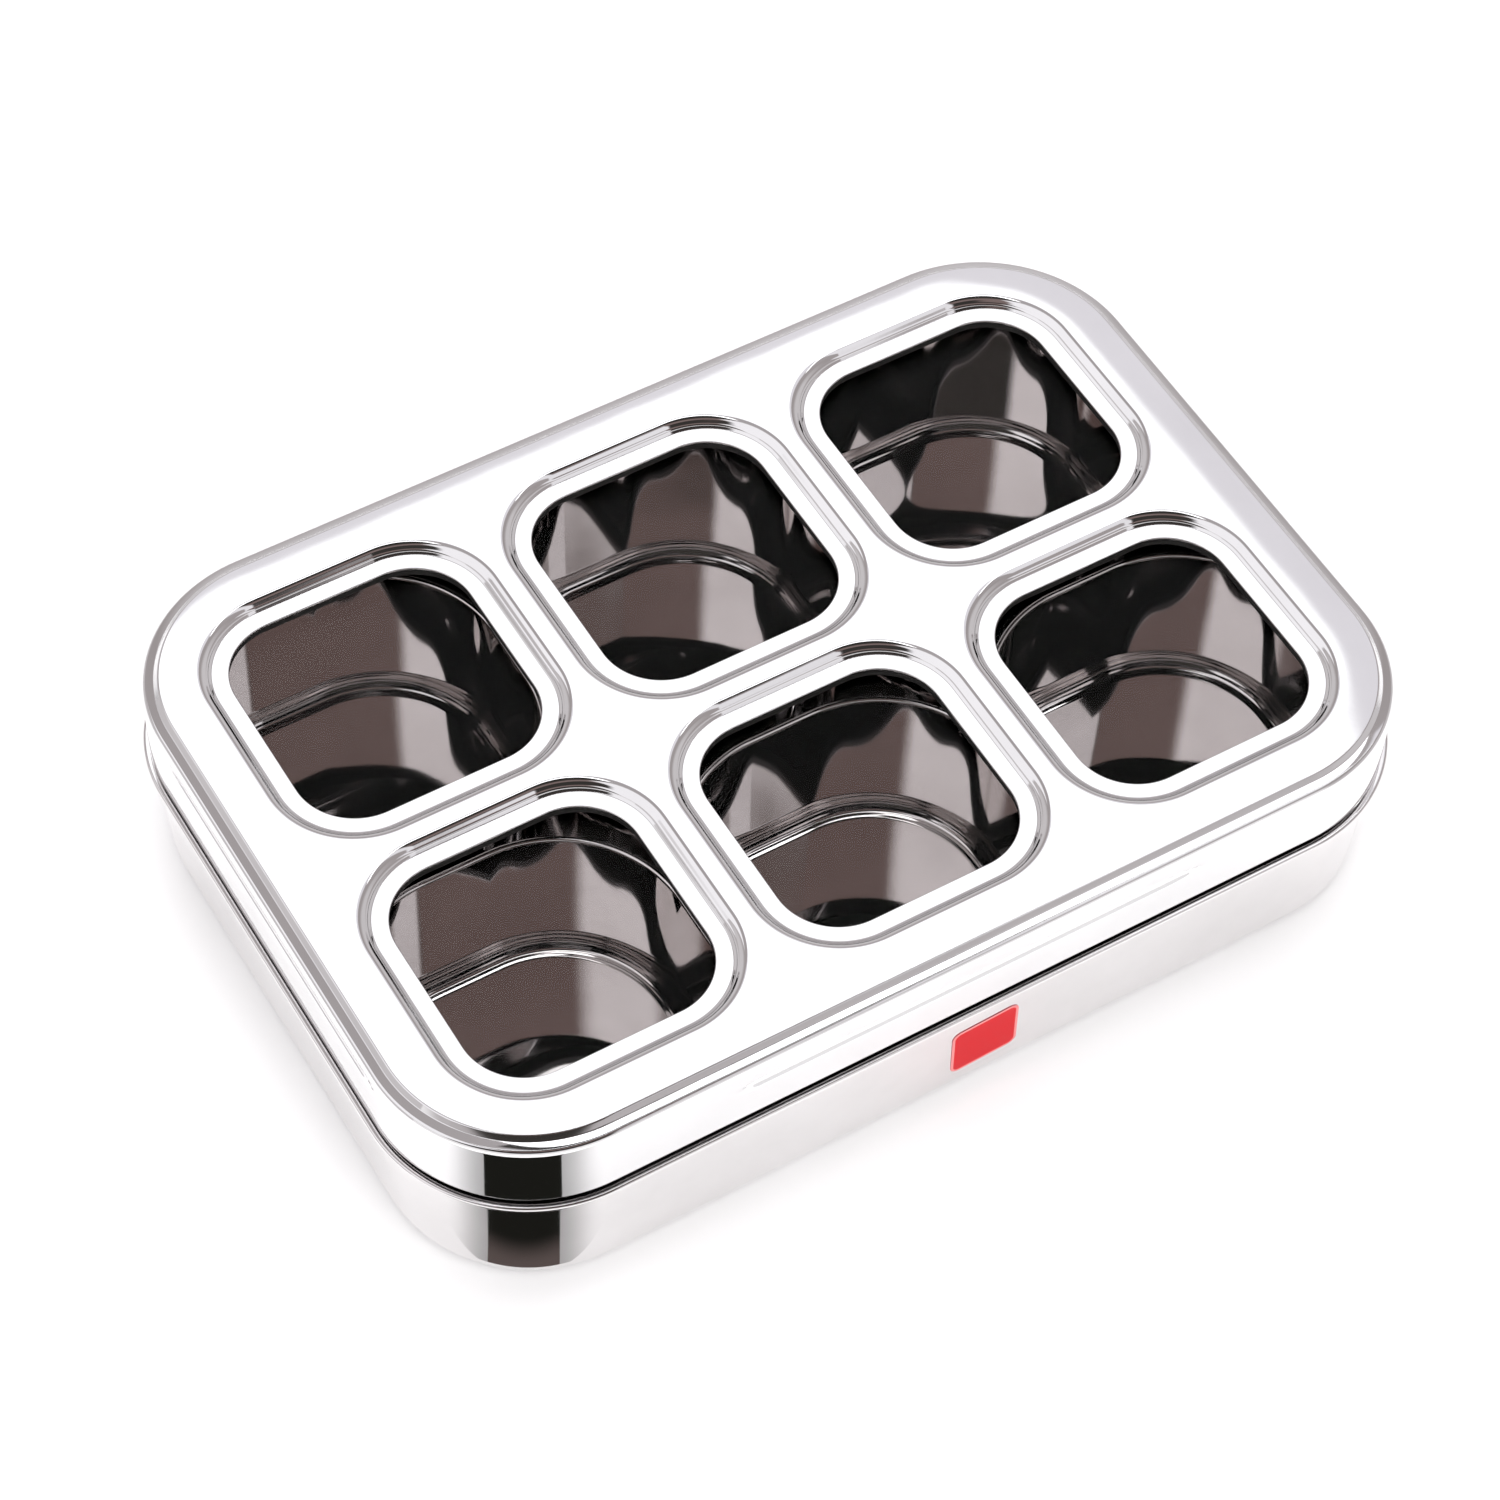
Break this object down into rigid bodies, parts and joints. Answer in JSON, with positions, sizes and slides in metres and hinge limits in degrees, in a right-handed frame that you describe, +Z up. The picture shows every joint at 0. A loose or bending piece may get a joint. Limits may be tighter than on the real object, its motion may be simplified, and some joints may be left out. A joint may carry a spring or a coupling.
{
  "type": "spice box",
  "caption": "Rectangular polished steel spice box with lift-out square cups and a lift-off lid that has a sealed clear window over every cup.",
  "frame": {"origin": "middle of the underside, on the surface that the box stands on", "axes": "+X along the long side, +Y towards the back long side, +Z up; the sticker is on the front (-Y) wall"},
  "size_m": [0.2606, 0.1814, 0.0596],
  "materials": {
    "box_steel": "mirror polished stainless steel",
    "lid_steel": "mirror polished stainless steel",
    "cup_steel": "mirror polished stainless steel with faint spinning marks",
    "clear_sheet": "clear glossy acrylic",
    "black_seal": "matt black silicone",
    "sticker": "glossy printed film with a pale border, blank"
  },
  "bodies": {
    "box": {"box_shell": "box_steel", "label": "sticker"},
    "lid": {"lid_shell": "lid_steel", "window_sheet": "clear_sheet", "seal_front_left": "black_seal", "seal_front_middle": "black_seal", "seal_front_right": "black_seal", "seal_back_left": "black_seal", "seal_back_middle": "black_seal", "seal_back_right": "black_seal"},
    "cup_front_left": {"cup_front_left": "cup_steel"},
    "cup_front_middle": {"cup_front_middle": "cup_steel"},
    "cup_front_right": {"cup_front_right": "cup_steel"},
    "cup_back_left": {"cup_back_left": "cup_steel"},
    "cup_back_middle": {"cup_back_middle": "cup_steel"},
    "cup_back_right": {"cup_back_right": "cup_steel"}
  },
  "joints": [
    {"name": "lid_lift", "type": "slide", "parent": "box", "child": "lid", "axis": [0, 0, 1], "range_m": [0, 0.16]},
    {"name": "cup_front_left_lift", "type": "slide", "parent": "box", "child": "cup_front_left", "axis": [0, 0, 1], "range_m": [0, 0.08]},
    {"name": "cup_front_middle_lift", "type": "slide", "parent": "box", "child": "cup_front_middle", "axis": [0, 0, 1], "range_m": [0, 0.08]},
    {"name": "cup_front_right_lift", "type": "slide", "parent": "box", "child": "cup_front_right", "axis": [0, 0, 1], "range_m": [0, 0.08]},
    {"name": "cup_back_left_lift", "type": "slide", "parent": "box", "child": "cup_back_left", "axis": [0, 0, 1], "range_m": [0, 0.08]},
    {"name": "cup_back_middle_lift", "type": "slide", "parent": "box", "child": "cup_back_middle", "axis": [0, 0, 1], "range_m": [0, 0.08]},
    {"name": "cup_back_right_lift", "type": "slide", "parent": "box", "child": "cup_back_right", "axis": [0, 0, 1], "range_m": [0, 0.08]}
  ],
  "couplings": [
    {"joint": "cup_front_left_lift", "follows": "lid_lift", "ratio": 0.5},
    {"joint": "cup_front_middle_lift", "follows": "lid_lift", "ratio": 0.5},
    {"joint": "cup_front_right_lift", "follows": "lid_lift", "ratio": 0.5},
    {"joint": "cup_back_left_lift", "follows": "lid_lift", "ratio": 0.5},
    {"joint": "cup_back_middle_lift", "follows": "lid_lift", "ratio": 0.5},
    {"joint": "cup_back_right_lift", "follows": "lid_lift", "ratio": 0.5}
  ]
}
